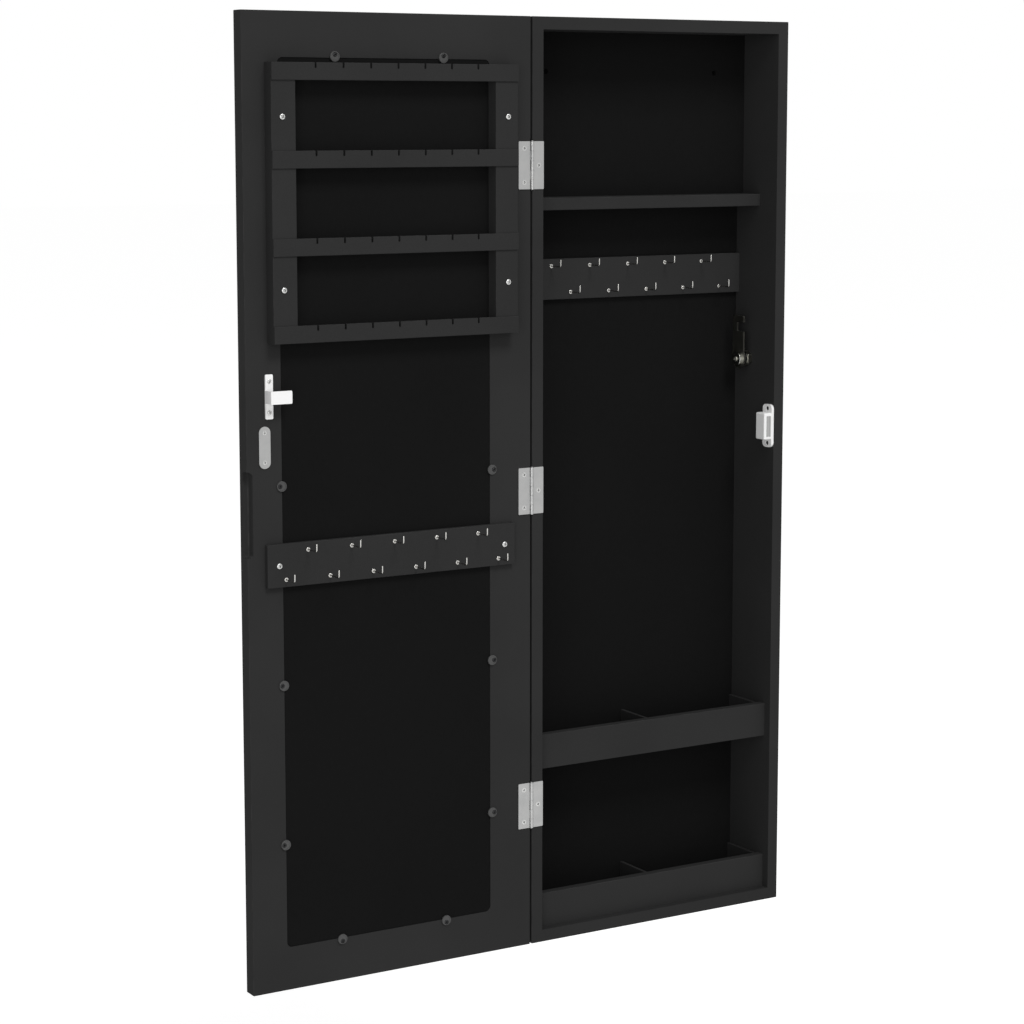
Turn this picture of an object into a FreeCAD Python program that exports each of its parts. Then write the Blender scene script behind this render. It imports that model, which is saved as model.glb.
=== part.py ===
import FreeCAD, Part
import math
import os

# A wall-hung jewelry cabinet with a mirror door, standing open by half a turn.
# Millimetres. +X is to the right, +Y goes into the wall and +Z is up.
# The origin is midway between the two wall screws, on the wall's surface.
# Heights are counted from the underside of the case, and up() turns them into Z.

vector = FreeCAD.Vector
along_x = vector(1, 0, 0)
along_y = vector(0, 1, 0)
along_z = vector(0, 0, 1)
to_front = vector(0, -1, 0)
to_left = vector(-1, 0, 0)

# Case
case_width = 300.0
case_height = 900.0
case_depth = 70.0
panel_thick = 12.0
back_thick = 3.0
back_rabbet = 6.0
back_play = 0.3
edge_round = 0.7
fixing_height = 850.0
fixing_spacing = 200.0
fixing_hole_radius = 2.5

# Hanging board, shelf and hook board in the case
hanging_board_thick = 10.0
shelf_bottom = 717.0
shelf_thick = 12.0
shelf_setback = 28.0
case_hook_board_bottom = 628.0
hook_board_height = 40.0
hook_board_thick = 5.0

# Trays
tray_front_height = 34.0
tray_front_thick = 9.0
tray_setback = 9.0
tray_sheet = 3.0
middle_tray_bottom = 172.3
tray_end_drop = 1.5
tray_sheet_round = 0.4

# Door
door_width = 300.0
door_thick = 15.0
door_gap = 2.0
window_left_border = 35.2
window_right_border = 45.2
window_end_border = 41.0
window_round = 5.0
mirror_border = 50.0
mirror_opening_round = 3.0
lip_thick = 6.0
mirror_thick = 4.0
backing_thick = 4.5
pane_play = 0.5
finger_recess_center = 449.5
finger_recess_length = 79.0
finger_recess_width = 5.7
finger_recess_depth = 9.0
finger_recess_corner = 4.0
finger_recess_floor_round = 2.5

# Earring rack on the door
rack_width = 255.4
rack_bottom = 604.5
rack_height = 250.0
stile_width = 24.0
stile_thick = 13.5
rack_round = 0.5
rail_count = 4
rail_height = 15.7
rail_thick = 4.0
rail_proud = 1.5
notch_count = 7
notch_pitch = 28.0
notch_width = 2.0
notch_depth = 5.2
rack_screw_heights = (652.6, 806.5)
rack_screw_inset = 10.7

# Hook board on the door
door_hook_board_width = 262.0
door_hook_board_offset = -1.5
door_hook_board_bottom = 381.8
door_hook_screw_inset = 11.7

# Screw hooks, in two staggered rows on each board
hook_pitch = 45.0
upper_hook_count = 5
lower_hook_count = 6
hook_row_spacing = 26.0
hook_wire_radius = 0.65
hook_reach = 17.4
hook_rise = 7.4
hook_bend = 2.2
hook_thread = 4.0
hook_collar_radius = 2.1
hook_collar_thick = 0.9

# Butt hinges
hinge_heights = (140.5, 450.5, 761.0)
hinge_length = 45.0
knuckle_count = 5
knuckle_radius = 1.8
knuckle_gap = 0.2
pin_radius = 0.8
pin_play = 0.08
pin_head_radius = 1.3
pin_head_thick = 0.7
leaf_thick = 0.9
leaf_corner = 0.8
case_leaf_reach = 13.0
door_leaf_reach = 14.8
leaf_inner_edge = 2.1
tongue_overlap = 0.5
door_leaf_screw_spacing = 32.0
relief_radius = 2.2
relief_overrun = 1.6

# Turning discs that hold the mirror and its backing in the door
disc_radius = 4.8
disc_thick = 1.6
disc_round = 0.4
disc_rim_width = 0.9
disc_dish_depth = 0.3
disc_screw_offset = 1.9
disc_recess_radius = 2.3
disc_recess_depth = 0.9
disc_inset_end = 1.0
disc_inset_left = 0.6
disc_inset_right = 1.9
end_disc_spots = (-57.5, 55.0)
side_disc_heights = (139.4, 289.5, 474.0)

# Cam lock in the right side panel
lock_height = 561.0
lock_setback = 45.6
lock_flange_radius = 9.0
lock_flange_thick = 1.5
lock_rim_round = 0.6
lock_barrel_radius = 6.5
plug_radius = 4.0
plug_play = 0.07
plug_head_radius = 5.4
plug_head_thick = 1.2
lock_nut_flats = 14.4
lock_nut_thick = 4.5
lock_nut_blank_share = 0.97
lock_nut_round = 0.5
cam_wall_gap = 10.0
cam_thick = 2.0
cam_play = 0.3
plug_shoulder_gap = 0.2
cam_round = 1.6
cam_notch_round = 1.2
cam_length = 44.0
cam_half_front = 8.0
cam_half_rear = 10.0
cam_notch_near = 28.0
cam_notch_far = 37.5
cam_notch_floor = -3.0
cam_tenon = 5.0
cam_washer_radius = 7.0
cam_washer_thick = 3.0
keyway_width = 2.4
keyway_height = 6.4
keyway_depth = 18.2

# Key
key_thick = 2.0
key_blade_height = 6.0
key_blade_length = 17.6
key_neck_height = 8.0
key_neck_length = 3.5
key_bow_radius = 9.0
key_bow_hole_radius = 2.2
key_bow_hole_offset = 4.5
key_rest_gap = 0.4
key_cut_radii = (1.6, 0.9, 2.0, 1.2)
key_cut_first = 4.0
key_cut_pitch = 3.2
key_cut_drop = 0.4

# Lock strike on the door
strike_plate_width = 7.6
strike_plate_length = 40.6
strike_left = 19.0
strike_center = 556.4
strike_arm_reach = 21.0
strike_arm_height = 11.8
strike_stand = 13.5
strike_sheet = 1.5
strike_screw_spacing = 28.4
strike_corner = 1.2
strike_bend_round = 1.0

# Magnetic catch in the case, and its oval plate on the door
catch_center = 495.2
catch_depth = 15.0
catch_base_length = 43.7
catch_base_thick = 2.8
catch_base_round = 4.5
catch_body_length = 27.2
catch_body_reach = 11.7
catch_body_round = 1.5
pole_slot_offset = 0.6
pole_slot_width = 5.0
pole_slot_length = 21.0
pole_slot_depth = 9.0
pole_sheet = 1.2
pole_proud = 0.4
catch_screw_spacing = 35.4
catch_recess_radius = 2.5
catch_recess_depth = 1.2
oval_plate_center = 510.5
oval_plate_length = 38.4
oval_plate_width = 11.4
oval_plate_thick = 1.2
oval_plate_left = 12.2
oval_screw_spacing = 27.0

# Screws: head radius, head height, shank radius, length below the seat
rack_screw = (2.8, 1.5, 1.2, 23.0)
hook_board_screw = (2.8, 1.5, 1.2, 15.0)
disc_screw = (1.9, 0.8, 0.9, 11.0)
hinge_screw = (2.3, 0.0, 1.1, 11.0)
strike_screw = (2.0, 1.0, 1.0, 11.0)
oval_screw = (2.0, 0.0, 1.0, 11.0)
catch_screw = (2.0, 0.8, 1.0, 10.0)
cam_screw = (2.6, 1.6, 1.5, 10.0)
cross_width = 0.7
cross_arm_share = 0.62
cross_depth_share = 0.42
head_round_share = 0.6

# Dowels and nails
dowel_in_side = 7.0
dowel_in_board = 14.0
panel_dowel_radius = 3.0
shelf_dowel_radius = 2.5
tray_dowel_radius = 2.0
corner_dowel_front = 18.0
corner_dowel_rear = 20.0
shelf_dowel_inset = 10.0
nail_radius = 0.6
nail_head_radius = 1.3
nail_head_thick = 0.5
nail_length = 11.0
nail_rows = 9
nail_end_gap = 30.0
nail_cross_spacing = 90.0
nail_edge_gap = 3.0

# How far a cut runs on past the face it opens
past = 1.0

# Places worked out from the dimensions above
case_left = -case_width / 2
case_right = case_width / 2
inner_left = case_left + panel_thick
inner_right = case_right - panel_thick
case_bottom = -fixing_height
case_top = case_bottom + case_height
inner_top = case_top - panel_thick
front = -case_depth
back_face = -back_thick
pin_x = case_left - door_gap / 2
pin_y = front - door_gap / 2
door_right = pin_x - door_gap / 2
door_left = door_right - door_width
door_center = (door_left + door_right) / 2
door_back = front + door_thick
lock_y = front + lock_setback
cam_outer = inner_right - cam_wall_gap
cam_inner = cam_outer - cam_thick


def up(height):
    return case_bottom + height


def box(x_low, x_high, y_low, y_high, z_low, z_high):
    corner = vector(x_low, y_low, z_low)
    return Part.makeBox(x_high - x_low, y_high - y_low, z_high - z_low, corner)


def rod(start, direction, radius, length):
    return Part.makeCylinder(radius, length, start, direction)


def edge_is_on(edge, plane):
    axis, value = plane
    return all(abs(getattr(v.Point, axis) - value) < 1e-6 for v in edge.Vertexes)


# Rounds the edges that lie on at least two of the planes named, each as (axis, value).
def soften(shape, radius, planes):
    edges = []
    for edge in shape.Edges:
        if sum(edge_is_on(edge, plane) for plane in planes) >= 2:
            edges.append(edge)
    return shape.makeFillet(radius, edges)


# Rounds the edges that lie on one plane.
def soften_rim(shape, radius, plane):
    return shape.makeFillet(radius, [edge for edge in shape.Edges if edge_is_on(edge, plane)])


def case_planes():
    ends = [("z", case_bottom), ("z", case_top)]
    return [("x", case_left), ("x", case_right), ("y", front), ("y", 0.0)] + ends


def save(name, shape):
    shape.exportStep("parts/" + name + ".step")
    print(name, "%.1f mm3" % shape.Volume, "valid" if shape.isValid() else "NOT VALID")


def group(shapes):
    return Part.makeCompound(shapes)


# Fasteners

# A screw with its seat at a point on a surface. A head height of 0 makes it countersunk.
def plain_screw(size, seat, outward):
    head_radius, head_height, shank_radius, length = size
    shank = rod(vector(0, 0, -length), along_z, shank_radius, length)
    if head_height > 0:
        head = rod(vector(0, 0, 0), along_z, head_radius, head_height)
        head = soften_rim(head, head_height * head_round_share, ("z", head_height))
    else:
        depth = head_radius - shank_radius
        head = Part.makeCone(shank_radius, head_radius, depth, vector(0, 0, -depth))
    return place(shank.fuse(head), seat, outward)


def crossed_screw(size, seat, outward):
    head_radius, head_height = size[0], size[1]
    arm = head_radius * cross_arm_share
    half = cross_width / 2
    low = head_height - head_radius * cross_depth_share
    bars = [
        box(-arm, arm, -half, half, low, head_height + past),
        box(-half, half, -arm, arm, low, head_height + past),
    ]
    bars = [place(bar, seat, outward) for bar in bars]
    return plain_screw(size, seat, outward).cut(bars)


def place(shape, seat, outward):
    placed = shape.copy()
    placed.Placement = FreeCAD.Placement(seat, FreeCAD.Rotation(along_z, outward))
    return placed


def all_screws(maker, size, seats, outward):
    return [maker(size, seat, outward) for seat in seats]


def nail_spots():
    reach_x = (inner_right + case_right - back_rabbet) / 2
    pitch = (case_height - 2 * nail_end_gap) / (nail_rows - 1)
    rows = [case_bottom + nail_end_gap + i * pitch for i in range(nail_rows)]
    spots = [(side * reach_x, z) for side in (-1, 1) for z in rows]
    reach_z = panel_thick - nail_edge_gap
    for z in (case_bottom + reach_z, case_top - reach_z):
        spots += [(i * nail_cross_spacing, z) for i in (-1, 0, 1)]
    return spots


def nails():
    made = []
    for x, z in nail_spots():
        shank = rod(vector(x, -nail_length, z), along_y, nail_radius, nail_length)
        head = rod(vector(x, -nail_head_thick, z), along_y, nail_head_radius, nail_head_thick)
        made.append(shank.fuse(head))
    return made


# Dowels run along X through both ends of a board that stands between the side panels.
def dowel_pair(radius, y, z):
    length = dowel_in_side + dowel_in_board
    left = rod(vector(inner_left - dowel_in_side, y, z), along_x, radius, length)
    right = rod(vector(inner_right - dowel_in_board, y, z), along_x, radius, length)
    return [left, right]


def dowels():
    made = []
    for z in (case_bottom + panel_thick / 2, case_top - panel_thick / 2):
        for y in (front + corner_dowel_front, -corner_dowel_rear):
            made += dowel_pair(panel_dowel_radius, y, z)
    shelf_z = up(shelf_bottom + shelf_thick / 2)
    for y in (front + shelf_setback + shelf_dowel_inset, back_face - shelf_dowel_inset):
        made += dowel_pair(shelf_dowel_radius, y, shelf_z)
    tray_y = front + tray_setback + tray_front_thick / 2
    for bottom in (panel_thick, middle_tray_bottom):
        made += dowel_pair(tray_dowel_radius, tray_y, up(bottom + tray_front_height / 2))
    return made


# Case panels

def wall_screw_holes():
    spots = (-fixing_spacing / 2, fixing_spacing / 2)
    depth = hanging_board_thick + back_thick
    return [rod(vector(x, -depth, 0), along_y, fixing_hole_radius, depth) for x in spots]


def back_outline(y_low, y_high, play):
    reach = back_rabbet - play
    z_low = up(panel_thick - reach)
    return box(inner_left - reach, inner_right + reach, y_low, y_high, z_low, inner_top + reach)


def hinge_relief(height):
    overrun = hinge_length / 2 + relief_overrun
    return rod(vector(pin_x, pin_y, up(height) - overrun), along_z, relief_radius, 2 * overrun)


def side_panel(x_low, x_high, fittings):
    panel = box(x_low, x_high, front, 0, case_bottom, case_top)
    panel = soften(panel, edge_round, case_planes())
    return panel.cut([back_outline(back_face, past, 0)] + dowels() + nails() + fittings)


def side_panel_left():
    relief = [hinge_relief(height) for height in hinge_heights]
    return side_panel(case_left, inner_left, relief + case_hinge_screws(plain_screw))


def side_panel_right():
    barrel = rod(lock_point(inner_right - past), along_x, lock_barrel_radius, panel_thick + 2 * past)
    return side_panel(inner_right, case_right, [barrel] + catch_screws(plain_screw))


def end_panel(z_low, z_high):
    panel = box(inner_left, inner_right, front, 0, z_low, z_high)
    panel = soften(panel, edge_round, case_planes())
    return panel.cut([back_outline(back_face, past, 0)] + dowels() + nails())


def back_panel():
    return back_outline(back_face, 0, back_play).cut(wall_screw_holes() + nails())


def hanging_board():
    y_low = back_face - hanging_board_thick
    board = box(inner_left, inner_right, y_low, back_face, up(shelf_bottom + shelf_thick), inner_top)
    return board.cut(wall_screw_holes())


def shelf():
    y_low = front + shelf_setback
    z_low = up(shelf_bottom)
    z_high = z_low + shelf_thick
    board = box(inner_left, inner_right, y_low, back_face, z_low, z_high)
    board = soften(board, edge_round, [("y", y_low), ("z", z_low), ("z", z_high)])
    return board.cut(dowels())


# Hooks

def hook(x, face_y, z):
    bend_y = face_y - hook_reach + hook_bend
    tip_z = z + hook_rise - hook_wire_radius
    start = vector(x, face_y + hook_thread, z)
    bend_start = vector(x, bend_y, z)
    bend_end = vector(x, bend_y - hook_bend, z + hook_bend)
    turn = hook_bend * math.sqrt(0.5)
    bend_middle = vector(x, bend_y - turn, z + hook_bend - turn)
    tip = vector(x, bend_y - hook_bend, tip_z)
    path = Part.Wire([
        Part.makeLine(start, bend_start),
        Part.Arc(bend_start, bend_middle, bend_end).toShape(),
        Part.makeLine(bend_end, tip),
    ])
    ring = Part.Wire([Part.makeCircle(hook_wire_radius, start, to_front)])
    wire = path.makePipeShell([ring], True, True)
    collar = rod(vector(x, face_y, z), to_front, hook_collar_radius, hook_collar_thick)
    end = Part.makeSphere(hook_wire_radius, tip)
    return wire.fuse([collar, end])


# Both boards carry an upper and a lower row, the lower one shifted by half a step.
def hook_spots(center_x, board_bottom):
    middle = up(board_bottom + hook_board_height / 2)
    spots = []
    for count, side in ((upper_hook_count, 1), (lower_hook_count, -1)):
        for i in range(count):
            x = center_x + (i - (count - 1) / 2) * hook_pitch
            spots.append((x, middle + side * hook_row_spacing / 2))
    return spots


def hook_holes(center_x, face_y, board_bottom):
    holes = []
    for x, z in hook_spots(center_x, board_bottom):
        holes.append(rod(vector(x, face_y, z), along_y, hook_wire_radius, hook_thread))
    return holes


def hooks(center_x, face_y, board_bottom):
    return group([hook(x, face_y, z) for x, z in hook_spots(center_x, board_bottom)])


def case_hook_board():
    y_low = back_face - hook_board_thick
    z_low = up(case_hook_board_bottom)
    z_high = z_low + hook_board_height
    board = box(inner_left, inner_right, y_low, back_face, z_low, z_high)
    board = soften(board, edge_round, [("y", y_low), ("z", z_low), ("z", z_high)])
    return board.cut(hook_holes(0, y_low, case_hook_board_bottom))


def case_hooks():
    return hooks(0, back_face - hook_board_thick, case_hook_board_bottom)


# Trays: a front board, two thin end boards and a thin divider, with a floor under the middle one.

def tray_front(bottom):
    y_low = front + tray_setback
    y_high = y_low + tray_front_thick
    z_low = up(bottom)
    z_high = z_low + tray_front_height
    board = box(inner_left, inner_right, y_low, y_high, z_low, z_high)
    board = soften(board, edge_round, [("y", y_low), ("y", y_high), ("z", z_high)])
    return board.cut(dowels())


def tray_sheet_board(x_low, bottom, floor):
    y_low = front + tray_setback + tray_front_thick
    z_high = up(bottom + tray_front_height - tray_end_drop)
    board = box(x_low, x_low + tray_sheet, y_low, back_face, up(bottom + floor), z_high)
    return soften(board, tray_sheet_round, [("x", x_low), ("x", x_low + tray_sheet), ("z", z_high)])


def middle_tray_floor():
    y_low = front + tray_setback + tray_front_thick
    z_low = up(middle_tray_bottom)
    return box(inner_left, inner_right, y_low, back_face, z_low, z_low + tray_sheet)


def save_tray(name, bottom, floor):
    save(name + "_front", tray_front(bottom))
    save(name + "_end_left", tray_sheet_board(inner_left, bottom, floor))
    save(name + "_end_right", tray_sheet_board(inner_right - tray_sheet, bottom, floor))
    save(name + "_divider", tray_sheet_board(-tray_sheet / 2, bottom, floor))


# Hinges

def knuckle_low(index):
    return -hinge_length / 2 + index * hinge_length / knuckle_count + knuckle_gap / 2


# side is 1 for the leaf on the case and -1 for the leaf on the door.
def hinge_leaf(side, reach, owned, bore_radius, height, screws):
    z = up(height)
    half = hinge_length / 2
    edge_x = pin_x + side * leaf_inner_edge
    end_x = pin_x + side * reach
    low_x, high_x = sorted((edge_x, end_x))
    y_low = front - leaf_thick
    leaf = box(low_x, high_x, y_low, front, z - half, z + half)
    leaf = soften(leaf, leaf_corner, [("x", end_x), ("z", z - half), ("z", z + half)])
    length = hinge_length / knuckle_count - knuckle_gap
    tongue_low, tongue_high = sorted((pin_x, edge_x + side * tongue_overlap))
    for index in owned:
        low = z + knuckle_low(index)
        barrel = rod(vector(pin_x, pin_y, low), along_z, knuckle_radius, length)
        tongue = box(tongue_low, tongue_high, y_low, front, low, low + length)
        leaf = leaf.fuse([barrel, tongue])
    bore = rod(vector(pin_x, pin_y, z - half - past), along_z, bore_radius, hinge_length + 2 * past)
    return leaf.cut([bore] + screws).removeSplitter()


def case_hinge_leaf(height):
    return hinge_leaf(1, case_leaf_reach, (0, 2, 4), pin_radius, height, case_hinge_screws(plain_screw))


def door_hinge_leaf(height):
    bore = pin_radius + pin_play
    return hinge_leaf(-1, door_leaf_reach, (1, 3), bore, height, door_hinge_screws(plain_screw))


def hinge_pin(height):
    reach = hinge_length / 2
    pin = rod(vector(pin_x, pin_y, up(height) - reach), along_z, pin_radius, 2 * reach)
    for side in (-1, 1):
        seat = vector(pin_x, pin_y, up(height) + side * reach)
        head = rod(seat, vector(0, 0, side), pin_head_radius, pin_head_thick)
        rim = seat.z + side * pin_head_thick
        pin = pin.fuse(soften_rim(head, pin_head_thick * head_round_share, ("z", rim)))
    return pin


def case_hinge_screws(maker):
    x = pin_x + (leaf_inner_edge + case_leaf_reach) / 2
    seats = [vector(x, front - leaf_thick, up(height)) for height in hinge_heights]
    return all_screws(maker, hinge_screw, seats, to_front)


def door_hinge_screws(maker):
    x = pin_x - (leaf_inner_edge + door_leaf_reach) / 2
    seats = []
    for height in hinge_heights:
        for side in (-1, 1):
            z = up(height) + side * door_leaf_screw_spacing / 2
            seats.append(vector(x, front - leaf_thick, z))
    return all_screws(maker, hinge_screw, seats, to_front)


# Lock. Its axis runs along X. At rest the cam points up and leaves the door free.

def lock_point(x):
    return vector(x, lock_y, up(lock_height))


def hexagon(x_low, thick, flats):
    corner = flats / 2 / math.cos(math.radians(30))
    points = []
    for i in range(7):
        turn = math.radians(60 * i + 30)
        offset = vector(0, corner * math.cos(turn), corner * math.sin(turn))
        points.append(lock_point(x_low) + offset)
    prism = Part.Face(Part.makePolygon(points)).extrude(along_x * thick)
    blank = rod(lock_point(x_low), along_x, corner * lock_nut_blank_share, thick)
    return prism.common(soften_rim(blank, lock_nut_round, ("x", x_low)))


def lock_housing():
    inner_end = cam_outer + cam_play
    barrel = rod(lock_point(inner_end), along_x, lock_barrel_radius, case_right - inner_end)
    flange = rod(lock_point(case_right), along_x, lock_flange_radius, lock_flange_thick)
    outer = case_right + lock_flange_thick
    flange = soften_rim(flange, lock_rim_round, ("x", outer))
    bore = rod(lock_point(inner_end - past), along_x, plug_radius + plug_play, outer - inner_end + 2 * past)
    seat_depth = plug_head_thick + plug_play
    seat = rod(lock_point(outer - seat_depth), along_x, plug_head_radius + plug_play, seat_depth + past)
    return barrel.fuse(flange).cut([bore, seat])


def lock_nut():
    x_low = inner_right - lock_nut_thick
    nut = hexagon(x_low, lock_nut_thick, lock_nut_flats)
    return nut.cut(rod(lock_point(x_low - past), along_x, lock_barrel_radius, lock_nut_thick + 2 * past))


def cam_tenon_block():
    half = cam_tenon / 2
    z = up(lock_height)
    return box(cam_inner, cam_outer + plug_shoulder_gap, lock_y - half, lock_y + half, z - half, z + half)


def lock_plug():
    outer = case_right + lock_flange_thick
    start = cam_outer + plug_shoulder_gap
    body = rod(lock_point(start), along_x, plug_radius, outer - start)
    head = rod(lock_point(outer - plug_head_thick), along_x, plug_head_radius, plug_head_thick)
    z = up(lock_height)
    half_width = keyway_width / 2
    half_height = keyway_height / 2
    keyway = box(outer - keyway_depth, outer + past, lock_y - half_width, lock_y + half_width,
                 z - half_height, z + half_height)
    plug = body.fuse([head, cam_tenon_block()])
    return plug.cut([keyway] + cam_screws(plain_screw))


# The cam is a hook: a blade with a notch in its front edge, near the tip.
def lock_cam():
    z = up(lock_height)
    y_front = lock_y - cam_half_front
    y_rear = lock_y + cam_half_rear
    tip = z + cam_length
    blade = box(cam_inner, cam_outer, y_front, y_rear, z, tip)
    blade = soften(blade, cam_round, [("y", y_front), ("y", y_rear), ("z", tip)])
    hub = rod(lock_point(cam_inner), along_x, cam_half_rear, cam_thick)
    floor = lock_y - cam_notch_floor
    near = z + cam_notch_near
    far = z + cam_notch_far
    notch = box(cam_inner - past, cam_outer + past, y_front - past, floor, near, far)
    notch = soften(notch, cam_notch_round, [("y", floor), ("z", near), ("z", far)])
    return blade.fuse(hub).cut([notch, cam_tenon_block()]).removeSplitter()


def cam_washer():
    x_low = cam_inner - cam_washer_thick
    washer = rod(lock_point(x_low), along_x, cam_washer_radius, cam_washer_thick)
    washer = soften_rim(washer, lock_rim_round, ("x", x_low))
    return washer.cut(cam_screws(plain_screw))


def cam_screws(maker):
    return [maker(cam_screw, lock_point(cam_inner - cam_washer_thick), to_left)]


def lock_key():
    z = up(lock_height)
    y_low = lock_y - key_thick / 2
    y_high = lock_y + key_thick / 2
    neck_x = case_right + lock_flange_thick + key_rest_gap
    blade_half = key_blade_height / 2
    blade = box(neck_x - key_blade_length, neck_x, y_low, y_high, z - blade_half, z + blade_half)
    neck_half = key_neck_height / 2
    bow_x = neck_x + key_neck_length + key_bow_radius
    neck = box(neck_x, bow_x - key_neck_height, y_low, y_high, z - neck_half, z + neck_half)
    bow = rod(vector(bow_x, y_low, z), along_y, key_bow_radius, key_thick)
    through = key_thick + 2 * past
    hole = rod(vector(bow_x + key_bow_hole_offset, y_low - past, z), along_y, key_bow_hole_radius, through)
    cuts = []
    for i, radius in enumerate(key_cut_radii):
        x = neck_x - key_cut_first - i * key_cut_pitch
        cuts.append(rod(vector(x, y_low - past, z - blade_half - key_cut_drop), along_y, radius, through))
    return blade.fuse([neck, bow]).cut([hole] + cuts).removeSplitter()


# Magnetic catch in the case

def catch_housing():
    z = up(catch_center)
    y_high = front + catch_depth
    base_low = z - catch_base_length / 2
    base_high = z + catch_base_length / 2
    base = box(inner_right - catch_base_thick, inner_right, front, y_high, base_low, base_high)
    base = soften(base, catch_base_round, [("y", front), ("y", y_high), ("z", base_low), ("z", base_high)])
    low = z - catch_body_length / 2
    high = z + catch_body_length / 2
    left = inner_right - catch_body_reach
    body = box(left, inner_right, front, y_high, low, high)
    body = soften(body, catch_body_round, [("x", left), ("y", front), ("y", y_high), ("z", low), ("z", high)])
    cuts = [pole_slot()] + catch_screws(plain_screw)
    for seat in catch_screw_seats():
        cuts.append(rod(seat, to_left, catch_recess_radius, catch_recess_depth + past))
    return base.fuse(body).cut(cuts).removeSplitter()


def slot_center_x():
    return inner_right - catch_body_reach / 2 - pole_slot_offset


def pole_slot():
    x = slot_center_x()
    half = pole_slot_width / 2
    z = up(catch_center)
    half_z = pole_slot_length / 2
    return box(x - half, x + half, front - past, front + pole_slot_depth, z - half_z, z + half_z)


def catch_pole_plates():
    z = up(catch_center)
    half_z = pole_slot_length / 2
    plates = []
    for side in (-1, 1):
        outer = slot_center_x() + side * pole_slot_width / 2
        low, high = sorted((outer, outer - side * pole_sheet))
        plates.append(box(low, high, front - pole_proud, front + pole_slot_depth, z - half_z, z + half_z))
    return group(plates)


def catch_magnet():
    x = slot_center_x()
    half = pole_slot_width / 2 - pole_sheet
    z = up(catch_center)
    half_z = pole_slot_length / 2
    return box(x - half, x + half, front, front + pole_slot_depth, z - half_z, z + half_z)


def catch_screw_seats():
    x = inner_right - catch_base_thick + catch_recess_depth
    y = front + catch_depth / 2
    return [vector(x, y, up(catch_center) + side * catch_screw_spacing / 2) for side in (-1, 1)]


def catch_screws(maker):
    return all_screws(maker, catch_screw, catch_screw_seats(), to_left)


# Door

def window(border_left, border_right, border_end, y_low, y_high, corner):
    x_low = door_left + border_left
    x_high = door_right - border_right
    z_low = up(border_end)
    z_high = up(case_height - border_end)
    shape = box(x_low, x_high, y_low, y_high, z_low, z_high)
    return soften(shape, corner, [("x", x_low), ("x", x_high), ("z", z_low), ("z", z_high)])


def pane(y_low, y_high):
    left = window_left_border + pane_play
    right = window_right_border + pane_play
    end = window_end_border + pane_play
    return window(left, right, end, y_low, y_high, window_round - pane_play)


def finger_recess():
    half = finger_recess_length / 2
    z_low = up(finger_recess_center) - half
    z_high = up(finger_recess_center) + half
    x_high = door_left + finger_recess_width
    y_high = front + finger_recess_depth
    shape = box(door_left - past, x_high, front - past, y_high, z_low, z_high)
    shape = soften(shape, finger_recess_corner, [("x", x_high), ("z", z_low), ("z", z_high)])
    return soften(shape, finger_recess_floor_round, [("x", x_high), ("y", y_high)])


def door_frame():
    planes = [("x", door_left), ("x", door_right), ("y", front), ("y", door_back)]
    planes += [("z", case_bottom), ("z", case_top)]
    board = box(door_left, door_right, front, door_back, case_bottom, case_top)
    board = soften(board, edge_round, planes)
    lip = door_back - lip_thick
    left = window_left_border
    right = window_right_border
    rabbet = window(left, right, window_end_border, front - past, lip, window_round)
    border = mirror_border
    opening = window(border, border, border, lip - past, door_back + past, mirror_opening_round)
    cuts = [rabbet, opening, finger_recess()]
    cuts += [hinge_relief(height) for height in hinge_heights]
    cuts += door_hinge_screws(plain_screw)
    cuts += rack_screws(plain_screw)
    cuts += hook_board_screws(plain_screw)
    cuts += disc_screws(plain_screw)
    cuts += lock_strike_screws(plain_screw)
    cuts += catch_plate_screws(plain_screw)
    return board.cut(cuts)


def mirror_backing():
    y_high = door_back - lip_thick - mirror_thick
    return pane(y_high - backing_thick, y_high)


def mirror_pane():
    y_high = door_back - lip_thick
    return pane(y_high - mirror_thick, y_high)


# Each disc spot is its centre and the direction in which its screw is set off towards the frame.
def disc_spots():
    spots = []
    for offset in end_disc_spots:
        x = door_center + offset
        spots.append((x, up(case_height - window_end_border + disc_inset_end), 0, 1))
        spots.append((x, up(window_end_border - disc_inset_end), 0, -1))
    for height in side_disc_heights:
        spots.append((door_left + window_left_border - disc_inset_left, up(height), -1, 0))
        spots.append((door_right - window_right_border + disc_inset_right, up(height), 1, 0))
    return spots


# A disc has a raised rim round a shallow dish, and an off-centre recess for its screw.
def retaining_discs():
    made = []
    outer = front - disc_thick
    for spot, seat in zip(disc_spots(), disc_screw_seats()):
        x, z = spot[0], spot[1]
        disc = rod(vector(x, front, z), to_front, disc_radius, disc_thick)
        disc = soften_rim(disc, disc_round, ("y", outer))
        dish = rod(vector(x, outer + disc_dish_depth, z), to_front, disc_radius - disc_rim_width, disc_thick)
        recess = rod(seat, to_front, disc_recess_radius, disc_thick)
        made.append(disc.cut([dish, recess] + disc_screws(plain_screw)))
    return group(made)


def disc_screw_seats():
    y = front - disc_thick + disc_recess_depth
    seats = []
    for x, z, push_x, push_z in disc_spots():
        seats.append(vector(x + push_x * disc_screw_offset, y, z + push_z * disc_screw_offset))
    return seats


def disc_screws(maker):
    return all_screws(maker, disc_screw, disc_screw_seats(), to_front)


# Earring rack

def rail_bottom(index):
    pitch = (rack_height - rail_height) / (rail_count - 1)
    return up(rack_bottom + index * pitch)


def plain_rail(index):
    x_low = door_center - rack_width / 2
    y_low = front - stile_thick - rail_proud
    z_low = rail_bottom(index)
    z_high = z_low + rail_height
    rail = box(x_low, x_low + rack_width, y_low, y_low + rail_thick, z_low, z_high)
    return soften(rail, rack_round, [("y", y_low), ("z", z_low), ("z", z_high)])


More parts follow.
